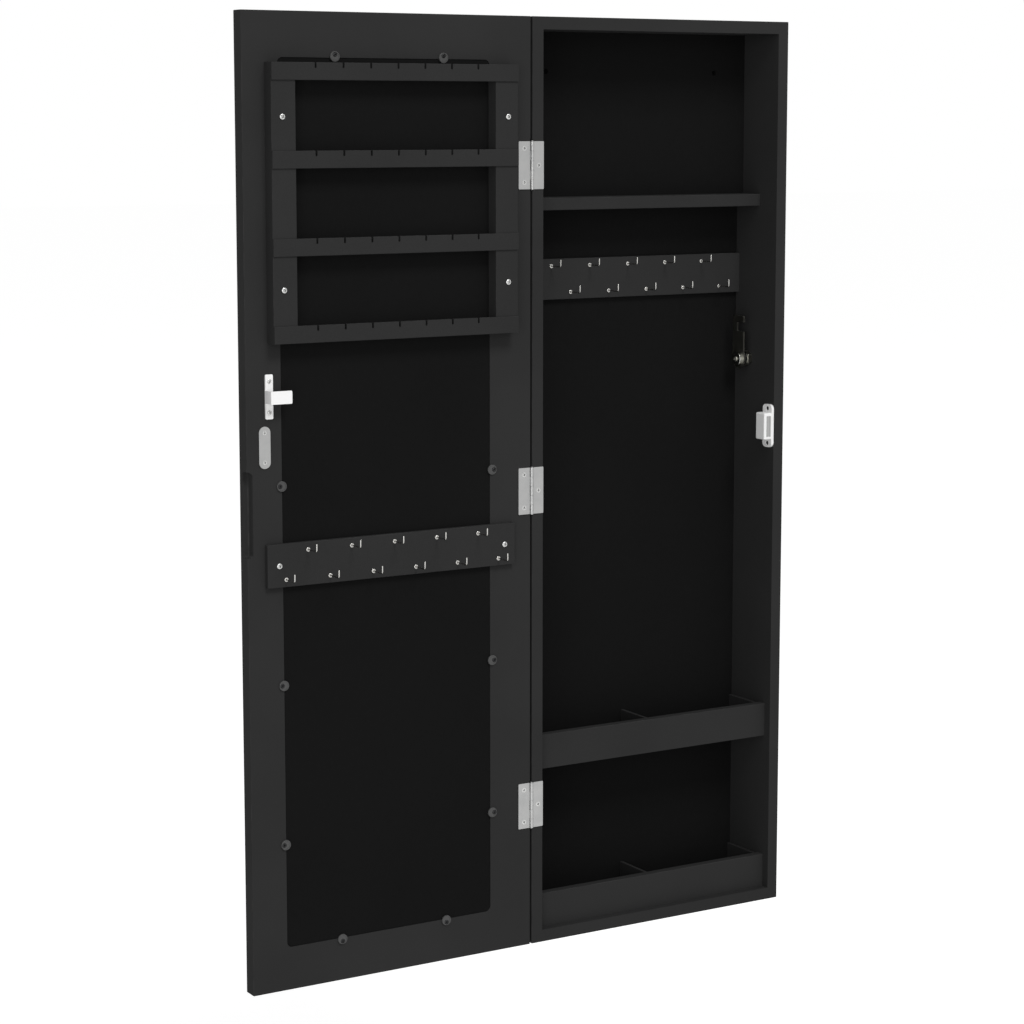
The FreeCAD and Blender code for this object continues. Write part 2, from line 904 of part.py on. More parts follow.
def rack_rail(index):
    notches = []
    z_high = rail_bottom(index) + rail_height
    y_low = front - stile_thick - rail_proud - past
    through = rail_thick + 2 * past
    floor = z_high - notch_depth + notch_width / 2
    for i in range(notch_count):
        x = door_center + (i - (notch_count - 1) / 2) * notch_pitch
        half = notch_width / 2
        notches.append(box(x - half, x + half, y_low, y_low + through, floor, z_high + past))
        notches.append(rod(vector(x, y_low, floor), along_y, half, through))
    return plain_rail(index).cut(notches)


def rack_stile(x_low):
    x_high = x_low + stile_width
    y_low = front - stile_thick
    z_low = up(rack_bottom)
    z_high = z_low + rack_height
    stile = box(x_low, x_high, y_low, front, z_low, z_high)
    stile = soften(stile, rack_round, [("y", y_low), ("x", x_low), ("x", x_high)])
    seats = []
    for index in range(rail_count):
        z = rail_bottom(index)
        y_high = y_low + rail_thick - rail_proud
        seats.append(box(x_low - past, x_high + past, y_low - past, y_high, z, z + rail_height))
    return stile.cut(seats + rack_screws(plain_screw))


def rack_screws(maker):
    reach = rack_width / 2 - rack_screw_inset
    seats = []
    for height in rack_screw_heights:
        for side in (-1, 1):
            seats.append(vector(door_center + side * reach, front - stile_thick, up(height)))
    return all_screws(maker, rack_screw, seats, to_front)


# Hook board on the door

def door_hook_center():
    return door_center + door_hook_board_offset


def door_hook_board():
    half = door_hook_board_width / 2
    x_low = door_hook_center() - half
    x_high = door_hook_center() + half
    y_low = front - hook_board_thick
    z_low = up(door_hook_board_bottom)
    z_high = z_low + hook_board_height
    board = box(x_low, x_high, y_low, front, z_low, z_high)
    planes = [("y", y_low), ("x", x_low), ("x", x_high), ("z", z_low), ("z", z_high)]
    board = soften(board, edge_round, planes)
    holes = hook_holes(door_hook_center(), y_low, door_hook_board_bottom)
    return board.cut(holes + hook_board_screws(plain_screw))


def door_hooks():
    return hooks(door_hook_center(), front - hook_board_thick, door_hook_board_bottom)


def hook_board_screws(maker):
    reach = door_hook_board_width / 2 - door_hook_screw_inset
    z = up(door_hook_board_bottom + hook_board_height / 2)
    y = front - hook_board_thick
    seats = [vector(door_hook_center() + side * reach, y, z) for side in (-1, 1)]
    return all_screws(maker, hook_board_screw, seats, to_front)


# Strikes on the door

def lock_strike():
    x_low = door_left + strike_left
    x_high = x_low + strike_plate_width
    z = up(strike_center)
    low = z - strike_plate_length / 2
    high = z + strike_plate_length / 2
    plate = box(x_low, x_high, front - strike_sheet, front, low, high)
    plate = soften(plate, strike_corner, [("x", x_low), ("x", x_high), ("z", low), ("z", high)])
    arm_low = z - strike_arm_height / 2
    arm_high = z + strike_arm_height / 2
    riser = box(x_low, x_low + strike_sheet, front - strike_stand, front, arm_low, arm_high)
    arm_end = x_low + strike_arm_reach
    arm = box(x_low, arm_end, front - strike_stand, front - strike_stand + strike_sheet, arm_low, arm_high)
    arm = soften(arm, strike_corner, [("x", arm_end), ("z", arm_low), ("z", arm_high)])
    strike = plate.fuse([riser, arm]).removeSplitter()
    bend = [("x", x_low), ("y", front - strike_stand)]
    return soften(strike, strike_bend_round, bend).cut(lock_strike_screws(plain_screw))


def lock_strike_screws(maker):
    x = door_left + strike_left + strike_plate_width / 2
    seats = []
    for side in (-1, 1):
        seats.append(vector(x, front - strike_sheet, up(strike_center) + side * strike_screw_spacing / 2))
    return all_screws(maker, strike_screw, seats, to_front)


def oval_plate_x():
    return door_left + oval_plate_left + oval_plate_width / 2


def catch_strike_plate():
    half = oval_plate_width / 2
    x = oval_plate_x()
    z = up(oval_plate_center)
    reach = oval_plate_length / 2 - half
    y_low = front - oval_plate_thick
    ends = [rod(vector(x, y_low, z + side * reach), along_y, half, oval_plate_thick) for side in (-1, 1)]
    plate = box(x - half, x + half, y_low, front, z - reach, z + reach).fuse(ends).removeSplitter()
    return plate.cut(catch_plate_screws(plain_screw))


def catch_plate_screws(maker):
    seats = []
    for side in (-1, 1):
        z = up(oval_plate_center) + side * oval_screw_spacing / 2
        seats.append(vector(oval_plate_x(), front - oval_plate_thick, z))
    return all_screws(maker, oval_screw, seats, to_front)


def save_case():
    save("side_panel_left", side_panel_left())
    save("side_panel_right", side_panel_right())
    save("top_panel", end_panel(inner_top, case_top))
    save("bottom_panel", end_panel(case_bottom, case_bottom + panel_thick))
    save("back_panel", back_panel())
    save("hanging_board", hanging_board())
    save("shelf", shelf())
    save("case_hook_board", case_hook_board())
    save("case_hooks", case_hooks())
    save_tray("middle_tray", middle_tray_bottom, tray_sheet)
    save("middle_tray_floor", middle_tray_floor())
    save_tray("lower_tray", panel_thick, 0)
    save("panel_dowels", group(dowels()))
    save("back_panel_nails", group(nails()))


def save_fittings():
    names = ("lower", "middle", "upper")
    for name, height in zip(names, hinge_heights):
        save("case_hinge_leaf_" + name, case_hinge_leaf(height))
        save("door_hinge_leaf_" + name, door_hinge_leaf(height))
    save("hinge_pins", group([hinge_pin(height) for height in hinge_heights]))
    save("case_hinge_screws", group(case_hinge_screws(crossed_screw)))
    save("door_hinge_screws", group(door_hinge_screws(crossed_screw)))
    save("lock_housing", lock_housing())
    save("lock_nut", lock_nut())
    save("lock_plug", lock_plug())
    save("lock_cam", lock_cam())
    save("cam_washer", cam_washer())
    save("cam_screw", group(cam_screws(crossed_screw)))
    save("lock_key", lock_key())
    save("catch_housing", catch_housing())
    save("catch_pole_plates", catch_pole_plates())
    save("catch_magnet", catch_magnet())
    save("catch_screws", group(catch_screws(crossed_screw)))


def save_door():
    save("door_frame", door_frame())
    save("mirror_pane", mirror_pane())
    save("mirror_backing", mirror_backing())
    save("retaining_discs", retaining_discs())
    save("disc_screws", group(disc_screws(crossed_screw)))
    save("rack_stile_left", rack_stile(door_center - rack_width / 2))
    save("rack_stile_right", rack_stile(door_center + rack_width / 2 - stile_width))
    for index in range(rail_count):
        save("rack_rail_%d" % (index + 1), rack_rail(index))
    save("rack_screws", group(rack_screws(crossed_screw)))
    save("door_hook_board", door_hook_board())
    save("door_hooks", door_hooks())
    save("hook_board_screws", group(hook_board_screws(crossed_screw)))
    save("lock_strike", lock_strike())
    save("catch_strike_plate", catch_strike_plate())
    save("lock_strike_screws", group(lock_strike_screws(crossed_screw)))
    save("catch_plate_screws", group(catch_plate_screws(crossed_screw)))


os.makedirs("parts", exist_ok=True)
save_case()
save_fittings()
save_door()
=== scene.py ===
import math

import bmesh
import bpy
import numpy as np
from mathutils import Matrix, Vector


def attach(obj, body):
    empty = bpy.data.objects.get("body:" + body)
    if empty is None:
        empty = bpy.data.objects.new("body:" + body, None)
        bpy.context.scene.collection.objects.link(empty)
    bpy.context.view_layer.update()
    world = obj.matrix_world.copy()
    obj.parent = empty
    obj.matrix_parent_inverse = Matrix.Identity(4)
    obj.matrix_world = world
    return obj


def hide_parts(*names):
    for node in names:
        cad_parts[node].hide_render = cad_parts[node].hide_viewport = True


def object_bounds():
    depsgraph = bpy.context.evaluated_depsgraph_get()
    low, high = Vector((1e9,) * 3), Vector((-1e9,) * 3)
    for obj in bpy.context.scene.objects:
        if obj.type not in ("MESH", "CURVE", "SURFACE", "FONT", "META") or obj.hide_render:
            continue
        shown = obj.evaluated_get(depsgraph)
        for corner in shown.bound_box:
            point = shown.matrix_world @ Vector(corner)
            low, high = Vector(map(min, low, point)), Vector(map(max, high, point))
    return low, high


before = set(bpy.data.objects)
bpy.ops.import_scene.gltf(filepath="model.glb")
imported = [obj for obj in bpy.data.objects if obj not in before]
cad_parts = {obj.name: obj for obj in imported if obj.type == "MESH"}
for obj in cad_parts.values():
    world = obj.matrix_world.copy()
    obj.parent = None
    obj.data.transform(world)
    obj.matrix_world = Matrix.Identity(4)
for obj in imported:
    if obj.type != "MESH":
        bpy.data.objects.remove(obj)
cadBox = [list(corner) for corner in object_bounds()]
print("packed model loaded,", len(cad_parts), "nodes")

mm = 0.001
fullTurn = 2 * math.pi
rightAngle = math.pi / 2


# A signal is one output socket, with arithmetic that adds Math nodes.
class Signal:
    def __init__(self, finish, socket):
        self.finish = finish
        self.socket = socket

    def maths(self, operation, *others):
        values = dict(enumerate((self,) + others))
        return self.finish.node("ShaderNodeMath", {"operation": operation}, values)

    def swapped(self, operation, first):
        return self.finish.node("ShaderNodeMath", {"operation": operation}, {0: first, 1: self})

    def __add__(self, other):
        return self.maths("ADD", other)

    def __sub__(self, other):
        return self.maths("SUBTRACT", other)

    def __rsub__(self, other):
        return self.swapped("SUBTRACT", other)

    def __mul__(self, other):
        return self.maths("MULTIPLY", other)

    def __gt__(self, other):
        return self.maths("GREATER_THAN", other)

    __radd__ = __add__
    __rmul__ = __mul__


# The largest of a normal's three parts: near 1 on a flat of a square board, less on a rounded edge.
edgeLook = {"flat": 0.97, "turned": 0.75}


# A finish is one material or the world: its node tree, and the methods that fill it.
class Finish:
    def __init__(self, name, slot=None, painted=None):
        self.material = painted or bpy.data.materials.new(name)
        self.material.use_nodes = True
        self.tree = self.material.node_tree
        self.tree.nodes.clear()
        self.slot = slot

    def node(self, kind, settings=None, values=None, out=0):
        made = self.tree.nodes.new(kind)
        for key, value in (settings or {}).items():
            setattr(made, key, value)
        for key, value in (values or {}).items():
            if isinstance(value, Signal):
                self.tree.links.new(value.socket, made.inputs[key])
            else:
                made.inputs[key].default_value = value
        if made.outputs:
            return Signal(self, made.outputs[out])

    def split(self, vector):
        first = self.node("ShaderNodeSeparateXYZ", {}, {0: vector})
        return [Signal(self, socket) for socket in first.socket.node.outputs]

    def place(self, stretch=None):
        where = self.node("ShaderNodeTexCoord", out="Object")
        if stretch:
            where = self.node("ShaderNodeMapping", {}, {"Vector": where, "Scale": stretch})
        return where

    def fitted(self, signal, low, high):
        values = {"Value": signal, "From Min": low, "From Max": high}
        return self.node("ShaderNodeMapRange", {"interpolation_type": "SMOOTHSTEP"}, values)

    # scale counts waves in a metre, shift picks another pattern, and span is what becomes 0 and 1.
    def noise(self, scale, detail=2.0, rough=0.5, stretch=None, shift=0.0, span=None):
        values = {"Vector": self.place(stretch), "Scale": scale, "Detail": detail, "Roughness": rough}
        settings = {}
        if shift:
            values["W"] = shift
            settings["noise_dimensions"] = "4D"
        pattern = self.node("ShaderNodeTexNoise", settings, values)
        return self.fitted(pattern, *span) if span else pattern

    def blend(self, factor, first, second):
        values = {0: factor, 6: first, 7: second}
        return self.node("ShaderNodeMix", {"data_type": "RGBA"}, values, 2)

    def bump(self, height, distance):
        return self.node("ShaderNodeBump", {}, {"Height": height, "Distance": distance, "Strength": 1.0})

    # The surface's own normal, split into X, Y and Z.
    def facing(self):
        return self.split(self.node("ShaderNodeTexCoord", out="Normal"))

    # 1 along rounded edges, 0 on the flats of a square board.
    def edges(self):
        x, y, z = [axis.maths("ABSOLUTE") for axis in self.facing()]
        largest = x.maths("MAXIMUM", y).maths("MAXIMUM", z)
        return self.fitted(largest, edgeLook["flat"], edgeLook["turned"])

    # 1 where the camera or a reflection sees the surface, 0 where it only sends light.
    def seenStraight(self):
        camera, glossy, through = [self.node("ShaderNodeLightPath", out="Is %s Ray" % kind)
                                   for kind in ("Camera", "Glossy", "Transmission")]
        return camera.maths("MAXIMUM", glossy).maths("MAXIMUM", through)

    def principled(self, values):
        return self.done(self.node("ShaderNodeBsdfPrincipled", {}, values))

    def done(self, shader):
        self.node("ShaderNodeOutputMaterial", {}, {"Surface": shader})
        return self


def grey(level, tint=(1.0, 1.0, 1.0)):
    return (level * tint[0], level * tint[1], level * tint[2], 1.0)


# Board paint: soft clouds and fine specks, and patches along the rounded edges that are smoother and
# painted lighter, partly as rubbed paint and partly as a painted edge highlight

boardLook = {
    "dark": 0.0266, "light": 0.0332, "cloudShare": 0.45, "speckShare": 0.55,
    "wornEdgeAndHighlight": 0.052, "wornEdgeAndHighlightShare": 0.7, "ior": 1.06,
    "rough": 0.53, "roughWave": 0.10, "roughSpeck": 0.05, "smoothRubbed": 0.14,
    "relief": 0.06 * mm, "speckRelief": 0.25,
    "cloud": {"scale": 9.0, "detail": 3.0, "span": (0.3, 0.7)},
    "speck": {"scale": 1900.0, "detail": 1.0, "span": (0.35, 0.65)},
    "patch": {"scale": 60.0, "detail": 4.0, "shift": 3.0, "span": (0.42, 0.62)},
    "wave": {"scale": 45.0, "detail": 2.0, "shift": 1.0},
    "peel": {"scale": 520.0, "detail": 2.0, "rough": 0.45},
}


def boardPaint():
    look = boardLook
    finish = Finish("matt black paint on board", "black_board")
    cloud = finish.noise(**look["cloud"])
    speck = finish.noise(**look["speck"])
    mix = cloud * look["cloudShare"] + speck * look["speckShare"]
    colour = finish.blend(mix, grey(look["dark"]), grey(look["light"]))
    patch = finish.noise(**look["patch"])
    # Lighter patches on the rounded edges: partly rubbed paint, partly a painted edge highlight.
    wornEdgeAndHighlight = finish.edges() * patch * look["wornEdgeAndHighlightShare"]
    colour = finish.blend(wornEdgeAndHighlight, colour, grey(look["wornEdgeAndHighlight"]))
    wave = finish.noise(**look["wave"])
    peel = finish.noise(**look["peel"])
    rough = wave * look["roughWave"] + speck * look["roughSpeck"] - wornEdgeAndHighlight * look["smoothRubbed"]
    normal = finish.bump(peel + speck * look["speckRelief"], look["relief"])
    return finish.principled({
        "Base Color": colour, "Roughness": rough + look["rough"], "Normal": normal,
        "IOR": look["ior"],
    })


# Hardboard: fibres that run along Z, and a brown woven screen pattern on the wall side

hardboardLook = {
    "dark": 0.0078, "light": 0.0093, "cloudShare": 0.55, "fibreShare": 0.45, "ior": 1.05,
    "rough": 0.56, "roughVaries": 0.08,
    "screenPitch": 1.6 * mm, "screenLevel": 0.050, "screenTint": (1.0, 0.86, 0.72), "screenShare": 0.6,
    "relief": 0.03 * mm, "fibreRelief": 0.4, "screenRelief": 0.9,
    "cloud": {"scale": 7.0, "detail": 3.0, "shift": 2.0, "span": (0.3, 0.7)},
    "fibre": {"scale": 420.0, "detail": 3.0, "rough": 0.6, "stretch": (1.0, 1.0, 0.35), "span": (0.3, 0.7)},
}

facesThatWay = 0.5  # a normal with more than this along an axis belongs to a face on that side


def hardboard():
    look = hardboardLook
    finish = Finish("black painted hardboard", "black_hardboard")
    cloud = finish.noise(**look["cloud"])
    fibre = finish.noise(**look["fibre"])
    mix = cloud * look["cloudShare"] + fibre * look["fibreShare"]
    colour = finish.blend(mix, grey(look["dark"]), grey(look["light"]))
    towardsWall = finish.facing()[1] > facesThatWay
    x, _, z = finish.split(finish.place())
    turns = fullTurn / look["screenPitch"]
    weave = (x * turns).maths("SINE") * (z * turns).maths("SINE")
    screen = grey(look["screenLevel"], look["screenTint"])
    colour = finish.blend(towardsWall * look["screenShare"], colour, screen)
    height = fibre * look["fibreRelief"] + towardsWall * weave * look["screenRelief"]
    rough = cloud * look["roughVaries"] + fibre * look["roughVaries"] + look["rough"]
    return finish.principled({
        "Base Color": colour, "Roughness": rough, "Normal": finish.bump(height, look["relief"]),
        "IOR": look["ior"],
    })


# Metals. A grain of (40, 40, 1) draws the fine scratches out along Z, and (1, 1, 12) lays them across it.

metalLooks = {
    "hinge_steel": {"colour": (0.415, 0.415, 0.41), "rough": 0.34, "grain": (40, 40, 1), "scratch": 0.10},
    "zinc_screw": {"colour": (0.56, 0.56, 0.55), "rough": 0.20, "grain": (1, 1, 1), "scratch": 0.06},
    # Black screws: dark partly as black plating and partly as painted shade for the recesses they sit in.
    "black_screw": {"colour": (0.035, 0.035, 0.036), "rough": 0.28, "grain": (1, 1, 1), "scratch": 0.05},
    "nickel_wire": {"colour": (0.49, 0.48, 0.458), "rough": 0.18, "grain": (1, 1, 1), "scratch": 0.05},
    "plate_steel": {"colour": (0.40, 0.40, 0.395), "rough": 0.30, "grain": (30, 30, 1), "scratch": 0.08},
    "lock_chrome": {"colour": (0.50, 0.50, 0.47), "rough": 0.10, "grain": (1, 1, 1), "scratch": 0.05},
    "cam_steel": {"colour": (0.26, 0.255, 0.225), "rough": 0.28, "grain": (1, 1, 12), "scratch": 0.08},
}

metalWear = {
    "stained": (0.84, 0.85, 0.86), "stainShare": 0.5, "scratchShare": 0.3, "roughStain": 0.08,
    "relief": 0.012 * mm,
    "scratch": {"scale": 700.0, "detail": 3.0, "rough": 0.6},
    "stain": {"scale": 70.0, "detail": 3.0, "shift": 4.0, "span": (0.35, 0.75)},
}


def metal(name):
    look = metalLooks[name]
    finish = Finish(name.replace("_", " "), name)
    scratch = finish.noise(stretch=look["grain"], **metalWear["scratch"])
    stain = finish.noise(**metalWear["stain"])
    clean = (*look["colour"], 1.0)
    stained = (*[level * share for level, share in zip(look["colour"], metalWear["stained"])], 1.0)
    mix = stain * metalWear["stainShare"] + scratch * metalWear["scratchShare"]
    rough = scratch * look["scratch"] + stain * metalWear["roughStain"] + look["rough"]
    return finish.principled({
        "Base Color": finish.blend(mix, clean, stained), "Roughness": rough, "Metallic": 1.0,
        "Normal": finish.bump(scratch, metalWear["relief"]),
    })


# Plastics, enamel and the magnet: a grain all over, and a little dirt

plasticLooks = {
    "grey_plastic": {"level": 0.050, "rough": 0.37, "specular": 0.4, "grain": 900.0, "relief": 0.02 * mm},
    "white_plastic": {"level": 0.90, "rough": 0.29, "specular": 0.5, "grain": 1100.0, "relief": 0.012 * mm},
    "white_metal": {"level": 0.92, "rough": 0.25, "specular": 0.5, "grain": 380.0, "relief": 0.03 * mm},
    "ferrite": {"level": 0.42, "rough": 0.45, "specular": 0.5, "grain": 1500.0, "relief": 0.03 * mm},
}

plasticDirt = {
    "level": 0.86, "tint": (1.0, 0.985, 0.95), "share": 0.5, "grainShare": 0.15,
    "roughGrain": 0.08, "roughDirt": 0.10,
    "dirt": {"scale": 55.0, "detail": 4.0, "rough": 0.6, "shift": 6.0, "span": (0.5, 0.85)},
}


def moulded(name):
    look = plasticLooks[name]
    finish = Finish(name.replace("_", " "), name)
    grain = finish.noise(look["grain"])
    dirt = finish.noise(**plasticDirt["dirt"])
    mix = dirt * plasticDirt["share"] + grain * plasticDirt["grainShare"]
    dirty = grey(look["level"] * plasticDirt["level"], plasticDirt["tint"])
    rough = grain * plasticDirt["roughGrain"] + dirt * plasticDirt["roughDirt"] + look["rough"]
    return finish.principled({
        "Base Color": finish.blend(mix, grey(look["level"]), dirty), "Roughness": rough,
        "Normal": finish.bump(grain, look["relief"]), "Specular IOR Level": look["specular"],
    })


# Mirror: silvering under clear glass, green on its cut edges

mirrorLook = {
    "silver": grey(0.84, (0.985, 1.0, 0.995)), "cutEdge": grey(0.30, (0.75, 1.0, 0.88)),
    "rough": 0.012, "roughSmear": 0.035, "roughDust": 0.10, "coat": 1.0, "coatRough": 0.02,
    "smear": {"scale": 16.0, "detail": 5.0, "rough": 0.6, "stretch": (1.0, 1.0, 0.6), "span": (0.45, 0.8)},
    "dust": {"scale": 1400.0, "detail": 1.0, "shift": 8.0, "span": (0.72, 0.82)},
}


def mirrorGlass():
    look = mirrorLook
    finish = Finish("silvered glass", "mirror_glass")
    smear = finish.noise(**look["smear"])
    dust = finish.noise(**look["dust"])
    face = finish.facing()[1].maths("ABSOLUTE") > facesThatWay
    return finish.principled({
        "Base Color": finish.blend(face, look["cutEdge"], look["silver"]), "Metallic": 1.0,
        "Roughness": smear * look["roughSmear"] + dust * look["roughDust"] + look["rough"],
        "Coat Weight": look["coat"], "Coat Roughness": look["coatRough"],
    })


dowelLook = {
    "light": (0.52, 0.37, 0.23, 1.0), "dark": (0.36, 0.23, 0.13, 1.0), "span": (0.3, 0.7),
    "rough": 0.5, "roughGrain": 0.2, "relief": 0.05 * mm,
    "grain": {"scale": 260.0, "detail": 4.0, "rough": 0.6, "stretch": (0.08, 1.0, 1.0)},
}


def dowelWood():
    look = dowelLook
    finish = Finish("beech", "dowel_wood")
    grain = finish.noise(**look["grain"])
    return finish.principled({
        "Base Color": finish.blend(finish.fitted(grain, *look["span"]), look["light"], look["dark"]),
        "Roughness": grain * look["roughGrain"] + look["rough"],
        "Normal": finish.bump(grain, look["relief"]),
    })


finishes = {
    "black_board": boardPaint(), "black_hardboard": hardboard(), "mirror_glass": mirrorGlass(),
    "dowel_wood": dowelWood(),
}
for name in metalLooks:
    finishes[name] = metal(name)
for name in plasticLooks:
    finishes[name] = moulded(name)
print("finishes made,", len(finishes))


def slotOf(node):
    return node.data.materials[0].name.split(".")[0]


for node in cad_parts.values():
    material = finishes[slotOf(node)].material
    for slot in node.material_slots:
        slot.link = "OBJECT"
        slot.material = material
print("carried-over nodes painted")


# The corners of the boxes round a group's pieces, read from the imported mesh. Points that lie closer
# together than apart, seen along the axes across, belong to one piece.
def spots(nodeName, across, apart):
    points = np.array([v.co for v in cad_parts[nodeName].data.vertices])
    found = []
    while len(points):
        gap = np.linalg.norm((points - points[0])[:, across], axis=1)
        mine = points[gap < apart]
        found.append((mine.min(0), mine.max(0)))
        points = points[gap >= apart]
    return found


meshLook = {"merge": 1e-7, "sharpAngle": 35}


def newPiece(nodeName, mesh, finishName, body):
    name = nodeName + "_detailed"
    data = bpy.data.meshes.new(name)
    bmesh.ops.remove_doubles(mesh, verts=mesh.verts, dist=meshLook["merge"])
    bmesh.ops.recalc_face_normals(mesh, faces=mesh.faces)
    mesh.to_mesh(data)
    mesh.free()
    data.shade_smooth()
    data.set_sharp_from_angle(angle=math.radians(meshLook["sharpAngle"]))
    data.materials.append(finishes[finishName].material)
    piece = bpy.data.objects.new(name, data)
    bpy.context.scene.collection.objects.link(piece)
    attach(piece, body)
    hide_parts(nodeName)


def ring(mesh, points):
    return [mesh.verts.new(point) for point in points]


def bridge(mesh, first, second):
    count = len(first)
    for i in range(count):
        j = (i + 1) % count
        mesh.faces.new((first[i], first[j], second[j], second[i]))


def cap(mesh, loop):
    middle = sum((v.co for v in loop), Vector()) / len(loop)
    tip = mesh.verts.new(middle)
    for i in range(len(loop)):
        mesh.faces.new((loop[i], loop[(i + 1) % len(loop)], tip))


def turnTo(outward):
    return Vector((0, 0, 1)).rotation_difference(Vector(outward)).to_matrix().to_4x4()


# Screws with a cross recess. lip, crown, thread and apart are millimetres, and the two twists and
# cornerSpread are radians. The rest are shares: of the shank's radius for threadDepth and tip, of the
# thread's pitch for threadLean, of the cross's arm for lipShare and floor, else of the head's radius.

screwLook = {
    "arm": 0.66, "slotWidth": 0.30, "slotTaper": 0.6, "depth": 0.50, "floor": 0.55,
    "lip": 0.05, "lipShare": 0.92, "crown": 0.02, "crownShares": (0.94, 0.66), "rimBevel": 0.04,
    "thread": 0.9, "threadDepth": 0.26, "threadLean": 0.3, "tip": 0.25,
    "apart": 6.0, "firstTwist": 0.35, "twistStep": 1.1, "cornerSpread": 0.25,
}

# Share of the head's radius, share of its height
headProfile = [(1.0, 0.0), (1.0, 0.34), (0.97, 0.55), (0.90, 0.74), (0.78, 0.89), (0.66, 0.97)]


# The angles at which a ring has points, so that each corner of the cross gets one.
def crossAngles(arm, half):
    corner = math.atan2(half, arm)
    beside = corner + screwLook["cornerSpread"]
    quarter = [-corner, 0.0, corner, beside, rightAngle / 2, rightAngle - beside]
    return [a + i * rightAngle for i in range(4) for a in quarter]


# How far the cross reaches from its centre at an angle.
def crossReach(angle, arm, half):
    turn = abs((angle + rightAngle / 2) % rightAngle - rightAngle / 2)
    if turn < math.atan2(half, arm):
        return arm / math.cos(turn)
    return half / math.sin(turn)


def addScrew(mesh, seat, outward, size, twist):
    headRadius, headHeight, shankRadius, length = [value * mm for value in size]
    arm = headRadius * screwLook["arm"]
    half = headRadius * screwLook["slotWidth"] / 2
    angles = crossAngles(arm, half)
    turn = Matrix.Translation(seat) @ turnTo(outward) @ Matrix.Rotation(twist, 4, "Z")

    def lathe(radius, height):
        points = [(radius * math.cos(a), radius * math.sin(a), height) for a in angles]
        return ring(mesh, [turn @ Vector(p) for p in points])

    def cross(share, height):
        wide = half * (1 - screwLook["slotTaper"] * (1 - share))
        reaches = [crossReach(a, arm * share, wide) for a in angles]
        points = [(r * math.cos(a), r * math.sin(a), height) for r, a in zip(reaches, angles)]
        return ring(mesh, [turn @ Vector(p) for p in points])

    if headHeight > 0:
        top = headHeight
        under = 0.0
        profile = [(headRadius * share, headHeight * high) for share, high in headProfile]
    else:
        top = screwLook["crown"] * mm
        under = shankRadius - headRadius
        bevel = headRadius * screwLook["rimBevel"]
        profile = [(shankRadius, under), (headRadius - bevel, -bevel), (headRadius, 0.0)]
        profile += [(headRadius * share, top) for share in screwLook["crownShares"]]
    loops = [lathe(radius, height) for radius, height in profile]
    loops.append(cross(1.0, top))
    loops.append(cross(screwLook["lipShare"], top - screwLook["lip"] * mm))
    loops.append(cross(screwLook["floor"], top - headRadius * screwLook["depth"]))
    for first, second in zip(loops, loops[1:]):
        bridge(mesh, first, second)
    cap(mesh, loops[-1])
    pitch = screwLook["thread"] * mm
    turns = int(length / pitch)
    shank = [lathe(shankRadius, under)]
    bridge(mesh, shank[0], loops[0])
    for i in range(turns):
        z = under - (i + 0.5) * (length + under - 2 * shankRadius) / turns
        shank.append(lathe(shankRadius * (1.0 - screwLook["threadDepth"]), z))
        shank.append(lathe(shankRadius, z - pitch * screwLook["threadLean"]))
    shank.append(lathe(shankRadius * screwLook["tip"], -length))
    for first, second in zip(shank, shank[1:]):
        bridge(mesh, second, first)
    cap(mesh, shank[-1])


# axis is 0 for heads that face -X and 1 for those that face -Y.
# size is head radius, head height (0 when sunk), shank radius and length below the seat.
screwGroups = {
    "rack_screws": {"body": "door", "axis": 1, "finish": "zinc_screw", "size": (2.8, 1.5, 1.2, 23)},
    "hook_board_screws": {"body": "door", "axis": 1, "finish": "zinc_screw", "size": (2.8, 1.5, 1.2, 15)},
    # The disc screws here and the catch screws below take the black finish, which partly stands in as
    # painted shade for their dark recesses.
    "disc_screws": {"body": "door", "axis": 1, "finish": "black_screw", "size": (1.9, 0.8, 0.9, 11)},
    "lock_strike_screws": {"body": "door", "axis": 1, "finish": "zinc_screw", "size": (2.0, 1.0, 1.0, 11)},
    "catch_plate_screws": {"body": "door", "axis": 1, "finish": "zinc_screw", "size": (2.0, 0.0, 1.0, 11)},
    "case_hinge_screws": {"body": "case", "axis": 1, "finish": "zinc_screw", "size": (2.3, 0.0, 1.1, 11)},
    "door_hinge_screws": {"body": "door", "axis": 1, "finish": "zinc_screw", "size": (2.3, 0.0, 1.1, 11)},
    "catch_screws": {"body": "case", "axis": 0, "finish": "black_screw", "size": (2.0, 0.8, 1.0, 10)},
    "cam_screw": {"body": "lock", "axis": 0, "finish": "cam_steel", "size": (2.6, 1.6, 1.5, 10)},
}


def makeScrews(nodeName, look):
    mesh = bmesh.new()
    axis = look["axis"]
    headHeight = look["size"][1] * mm
    outward = [0, 0, 0]
    outward[axis] = -1
    for i, (low, high) in enumerate(spots(nodeName, [1 - axis, 2], screwLook["apart"] * mm)):
        seat = Vector((low + high) / 2)
        seat[axis] = low[axis] + headHeight
        addScrew(mesh, seat, outward, look["size"], screwLook["firstTwist"] + screwLook["twistStep"] * i)
    newPiece(nodeName, mesh, look["finish"], look["body"])


for name, look in screwGroups.items():
    makeScrews(name, look)
print("screws made")


# Hooks: bent wire with a collar against the board. Lengths are millimetres.

hookLook = {
    "wire": 0.65, "reach": 17.4, "rise": 7.4, "bend": 2.2, "thread": 4.0,
    "collar": 2.1, "collarThick": 0.9, "apart": 12.0,
}
hookSteps = {"thread": 3, "straight": 6, "bend": 9, "tip": 3, "dome": 5, "sides": 16, "collarSides": 28}

# Share of the collar's radius, share of its thickness
collarProfile = [
    (0.45, -0.02), (1.0, 0.0), (1.0, 0.45), (0.94, 0.75), (0.82, 0.93), (0.66, 1.0), (0.42, 0.86),
]


